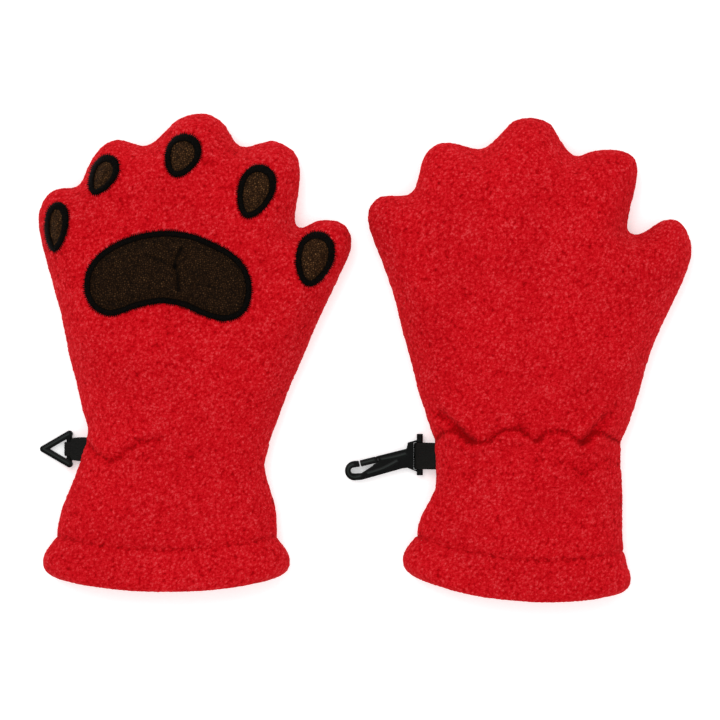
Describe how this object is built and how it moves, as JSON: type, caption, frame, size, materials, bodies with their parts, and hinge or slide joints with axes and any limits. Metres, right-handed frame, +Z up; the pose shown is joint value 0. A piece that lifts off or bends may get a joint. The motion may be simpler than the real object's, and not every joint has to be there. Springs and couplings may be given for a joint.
{
  "type": "pair of child's fleece paw mittens",
  "caption": "Pair of child's red fleece mittens shaped like paws, with sewn palm and toe pads, a gathered wrist, turned-up cuffs, and a snap hook and triangle ring that clip them together.",
  "frame": {"origin": "on the table surface under the middle of the pair's bounding box", "axes": "+Z up out of the table, +Y from the cuffs to the fingertips, +X from the right-hand mitten, palm up, to the left-hand mitten, palm down"},
  "size_m": [0.246, 0.1835, 0.0243],
  "materials": {
    "fleece": "brushed micro-fleece with a short pebbled nap",
    "lining": "thin smooth fleece",
    "elastic": "woven elastic",
    "pad": "grained dark brown suede",
    "thread": "satin-stitched embroidery thread",
    "webbing": "ribbed narrow webbing",
    "plastic": "satin moulded plastic"
  },
  "bodies": {
    "right_mitten": {"right_palm_panel": "fleece", "right_back_panel": "fleece", "right_palm_lining": "lining", "right_back_lining": "lining", "right_cuff_hem": "fleece", "right_wrist_elastic": "elastic", "right_palm_pad": "pad", "right_palm_pad_border": "thread", "right_little_toe_pad": "pad", "right_little_toe_border": "thread", "right_ring_toe_pad": "pad", "right_ring_toe_border": "thread", "right_middle_toe_pad": "pad", "right_middle_toe_border": "thread", "right_index_toe_pad": "pad", "right_index_toe_border": "thread", "right_thumb_toe_pad": "pad", "right_thumb_toe_border": "thread"},
    "left_mitten": {"left_palm_panel": "fleece", "left_back_panel": "fleece", "left_palm_lining": "lining", "left_back_lining": "lining", "left_cuff_hem": "fleece", "left_wrist_elastic": "elastic", "left_palm_pad": "pad", "left_palm_pad_border": "thread", "left_little_toe_pad": "pad", "left_little_toe_border": "thread", "left_ring_toe_pad": "pad", "left_ring_toe_border": "thread", "left_middle_toe_pad": "pad", "left_middle_toe_border": "thread", "left_index_toe_pad": "pad", "left_index_toe_border": "thread", "left_thumb_toe_pad": "pad", "left_thumb_toe_border": "thread"},
    "ring_loop": {"ring_webbing": "webbing"},
    "ring": {"triangle_ring": "plastic"},
    "hook_loop": {"hook_webbing": "webbing"},
    "hook": {"snap_hook": "plastic"},
    "gate": {"hook_gate": "plastic"}
  },
  "joints": [
    {"name": "left_mitten_lift", "type": "slide", "parent": "right_mitten", "child": "left_mitten", "axis": [0, 0, 1], "range_m": [0, 0.08]},
    {"name": "ring_loop_flex", "type": "hinge", "parent": "right_mitten", "child": "ring_loop", "pos_m": [-0.10695, -0.035, 0.0058], "axis": [0.2476, 0.9689, 0], "range_deg": [0, 30]},
    {"name": "ring_swing", "type": "hinge", "parent": "ring_loop", "child": "ring", "pos_m": [-0.1112, -0.035, 0.00199], "axis": [0, 1, 0], "range_deg": [0, 80]},
    {"name": "hook_loop_flex", "type": "hinge", "parent": "left_mitten", "child": "hook_loop", "pos_m": [0.0249, -0.0376, 0.0058], "axis": [0, 1, 0], "range_deg": [0, 30]},
    {"name": "hook_swing", "type": "hinge", "parent": "hook_loop", "child": "hook", "pos_m": [0.0206, -0.0371, 0.00205], "axis": [0, 1, 0], "range_deg": [0, 45]},
    {"name": "gate_flex", "type": "hinge", "parent": "hook", "child": "gate", "pos_m": [0.0037, -0.0391, 0.00205], "axis": [0, 0, 1], "range_deg": [0, 16], "stiffness_Nm_per_rad": 0.02}
  ]
}
